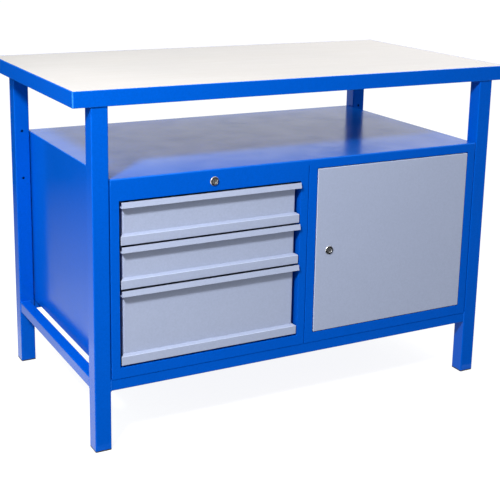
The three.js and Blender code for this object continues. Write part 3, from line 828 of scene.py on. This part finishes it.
# ---- locks ----
def add_lock(name):
    """Turned ring and body of a cylinder lock, with a keyway insert inside its plug, near-black as
    painted shade.
    """
    x0, y0, z0, x1, y1, z1 = box_of(f"{name}_barrel")
    centre_x, centre_z = (x0 + x1) / 2, (z0 + z1) / 2
    flange = (x1 - x0) / 2
    seat = FACE - GAP
    section = [(LOCK_BORE, y0 + RING_FUNNEL[1]), (LOCK_BORE + RING_FUNNEL[0], y0)]
    section += [(flange - RING_CHAMFER[0], y0), (flange, y0 + RING_CHAMFER[1]), (flange, seat)]
    section += [(LOCK_BODY, seat), (LOCK_BODY, y1), (LOCK_BORE, y1)]
    rounded = bent([section[-1], *section, section[0]], RING_BENDS, RING_STEPS)[1:-1]
    rows = []
    for step in range(LATHE_STEPS + 1):
        angle = 2 * math.pi * step / LATHE_STEPS
        across, up = math.cos(angle), math.sin(angle)
        rows.append([(centre_x + r * across, y, centre_z + r * up) for r, y in rounded])
    barrel = Surface()
    barrel.add_rows(rows, closed=True)
    body = "door" if name == "door_lock" else ROOT
    piece = barrel.piece(f"{name}_ring", "chrome", body, [f"{name}_barrel"])
    turned_outward(piece)
    smoothed(piece)
    add_keyway(name, centre_x, centre_z)


def add_keyway(name, centre_x, centre_z):
    """Warded insert a little behind the face of the plug, inside its key slot; its near-black is
    painted shade.
    """
    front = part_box(f"{name}_plug")[0].y + KEYWAY_SET_BACK
    depth = KEY_SLOT[2] - KEYWAY_SHORTER
    half_width = KEY_SLOT[0] / 2 - KEYWAY_CLEARANCE
    half_height = KEY_SLOT[1] / 2 - KEYWAY_CLEARANCE
    ward = half_width * KEYWAY_WARD
    right, left = [], []
    for i, level in enumerate(KEYWAY_LEVELS):
        right.append((half_width - (ward if i in WARDS_RIGHT else 0), level * half_height))
        left.append((-half_width + (ward if i in WARDS_LEFT else 0), level * half_height))
    outline = right + left[::-1]
    near = [(centre_x + x, front, centre_z + z) for x, z in outline]
    far = [(x, y + depth, z) for x, y, z in near]
    insert = Surface()
    insert.add_rows([near, far], closed=True)
    insert.add_faces([near, far[::-1]])
    piece = insert.piece(f"{name}_keyway", "chrome", name, material="keyway")
    turned_outward(piece)
    smoothed(piece)


# ---- camera, light, floor ----
def add_camera():
    """The photograph's point of view: yaw, pitch and roll from a camera that looks along +Y."""
    data = bpy.data.cameras.new("camera")
    data.lens = CAMERA_LENS
    data.sensor_width = CAMERA_SENSOR
    data.shift_y = CAMERA_SHIFT
    camera = bpy.data.objects.new("camera", data)
    bpy.context.scene.collection.objects.link(camera)
    ahead = Vector((
        math.sin(CAMERA_YAW) * math.cos(CAMERA_PITCH),
        math.cos(CAMERA_YAW) * math.cos(CAMERA_PITCH),
        -math.sin(CAMERA_PITCH),
    ))
    right = Vector((math.cos(CAMERA_YAW), -math.sin(CAMERA_YAW), 0))
    up = right.cross(ahead)
    level_right = right * math.cos(CAMERA_ROLL) + up * math.sin(CAMERA_ROLL)
    level_up = up * math.cos(CAMERA_ROLL) - right * math.sin(CAMERA_ROLL)
    turn = Matrix((level_right, level_up, -ahead)).transposed()
    camera.matrix_world = Matrix.Translation(CAMERA_PLACE) @ turn.to_4x4()
    bpy.context.scene.camera = camera


def add_softbox(name, place, target, size, power):
    """A square area light that looks at its target."""
    data = bpy.data.lights.new(name, "AREA")
    data.shape = "SQUARE"
    data.size = size
    data.energy = power
    light = bpy.data.objects.new(name, data)
    bpy.context.scene.collection.objects.link(light)
    light.location = place
    direction = Vector(target) - Vector(place)
    light.rotation_euler = direction.to_track_quat("-Z", "Y").to_euler()
    return light


def add_world():
    """White to the eye and in the gloss; as a source of light, a dimmer sky and darker ground."""
    world = bpy.data.worlds.new("studio")
    world.use_nodes = True
    tree = world.node_tree
    background = tree.nodes["Background"]
    background.inputs["Color"].default_value = (1, 1, 1, 1)
    direction = tree.nodes.new("ShaderNodeTexCoord")
    height = tree.nodes.new("ShaderNodeSeparateXYZ")
    ambient = tree.nodes.new("ShaderNodeMapRange")
    ambient.inputs["From Min"].default_value = -1.0
    ambient.inputs["From Max"].default_value = 1.0
    ambient.inputs["To Min"].default_value = GROUND_LIGHT
    ambient.inputs["To Max"].default_value = SKY_LIGHT
    path = tree.nodes.new("ShaderNodeLightPath")
    strength = tree.nodes.new("ShaderNodeMapRange")
    strength.inputs["To Min"].default_value = 1.0
    tree.links.new(direction.outputs["Generated"], height.inputs["Vector"])
    tree.links.new(height.outputs["Z"], ambient.inputs["Value"])
    tree.links.new(path.outputs["Is Diffuse Ray"], strength.inputs["Value"])
    tree.links.new(ambient.outputs["Result"], strength.inputs["To Max"])
    tree.links.new(strength.outputs["Result"], background.inputs["Strength"])
    bpy.context.scene.world = world
    bpy.context.scene.view_settings.view_transform = "Standard"


def staged_plane(name, corners, shade):
    """A matt part of the studio. It shows, but lights no diffuse surface and casts no shadow."""
    mesh = bpy.data.meshes.new(name)
    mesh.from_pydata(corners, [], [(0, 1, 2, 3)])
    plane = bpy.data.objects.new(name, mesh)
    bpy.context.scene.collection.objects.link(plane)
    shader = Shader(name)
    paler = shader.between(shader.noise(2), 0.0, 1.0)
    shader.colour(shader.mixed(paler, (shade,) * 3, (shade * 1.03,) * 3))
    shader.roughness(shader.between(shader.noise(6), 0.85, 0.95))
    shader.set(IOR=1.0, Emission_Color=(1, 1, 1, 1), Emission_Strength=0.0)
    mesh.materials.append(shader.material)
    plane.visible_diffuse = False
    plane.visible_shadow = False
    return plane, shader


def add_flag(name, corners):
    """A dark card that only shows in the gloss of the paint."""
    flag, shader = staged_plane(name, corners, FLAG_SHADE)
    flag.visible_camera = False
    return shader


def fade(shader, axis, start, end, first, last):
    """Makes a card's glow go from first at one place on an axis to last at another."""
    place = shader.add("ShaderNodeSeparateXYZ")
    shader.link(shader.place, place.inputs["Vector"])
    glow = shader.between(place.outputs[axis], first, last, start, end)
    shader.link(glow, shader.principled.inputs["Emission Strength"])


def standing(start, end, height):
    """Corners of an upright card between two points of the floor."""
    return [(*start, 0), (*end, 0), (*end, height), (*start, height)]


def lying(start, end):
    """Corners of a card on the floor between two opposite corners."""
    (x0, y0), (x1, y1) = start, end
    return [(x0, y0, FLAG_LIFT), (x1, y0, FLAG_LIFT), (x1, y1, FLAG_LIFT), (x0, y1, FLAG_LIFT)]


def add_studio():
    add_world()
    standing_left = add_flag("flag_left", standing(*FLAG_LEFT))
    fade(standing_left, "Z", 0, FLAG_FOOT, FAR_GLOW, 0.0)
    add_flag("flag_front", standing(*FLAG_FRONT))
    add_flag("flag_floor_front", lying(*FLAG_FLOOR_FRONT))
    under = add_flag("flag_floor_under", lying(*FLAG_FLOOR_UNDER))
    under.set(Emission_Strength=UNDER_GLOW)
    lying_left = add_flag("flag_floor_left", lying(*FLAG_FLOOR_LEFT))
    near, far = (corner[1] for corner in FLAG_FLOOR_LEFT)
    fade(lying_left, "Y", near, far, NEAR_GLOW, FAR_GLOW)
    add_softbox("key", *KEY)
    add_softbox("overhead", *OVERHEAD)
    fill = add_softbox("fill_left", *FILL)
    fill.data.color = FILL_TINT
    fill.visible_glossy = False


def add_floor():
    reach = FLOOR_REACH
    corners = [(-reach, -reach, 0), (reach, -reach, 0), (reach, reach, 0), (-reach, reach, 0)]
    _, shader = staged_plane("floor", corners, FLOOR_SHADE)
    shader.set(Emission_Strength=FLOOR_GLOW)


# ---- finish of the CAD nodes ----
def slot_of(node):
    """The record's material slot of a CAD node."""
    if node.startswith("foot_cap"):
        return "black_plastic"
    if node == "worktop_board":
        return "plywood"
    if node.startswith(("drawer_front", "drawer_box", "door_panel")):
        return "grey_paint"
    if node.endswith(("_barrel", "_plug")):
        return "chrome"
    if node.startswith(("runner_", "drawer_slide", "door_pivot", "drawer_lock", "door_lock")):
        return "zinc"
    return "blue_paint"


def finish_nodes():
    for name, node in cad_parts.items():
        slot = slot_of(name)
        finish = "satin_nickel" if name.endswith("_plug") else slot
        node.data.materials.clear()
        node.data.materials.append(MATERIALS[finish])
        softened(node)


add_camera()
add_studio()
add_floor()
finish_nodes()
add_worktop_edge()
add_shelf()
add_side_panel()
add_joint_strip()
add_floor_flange()
add_faces()
for level in ("bottom", "middle", "top"):
    add_drawer_front(level)
add_door()
add_lock("drawer_lock")
add_lock("door_lock")
add_rail_welds()
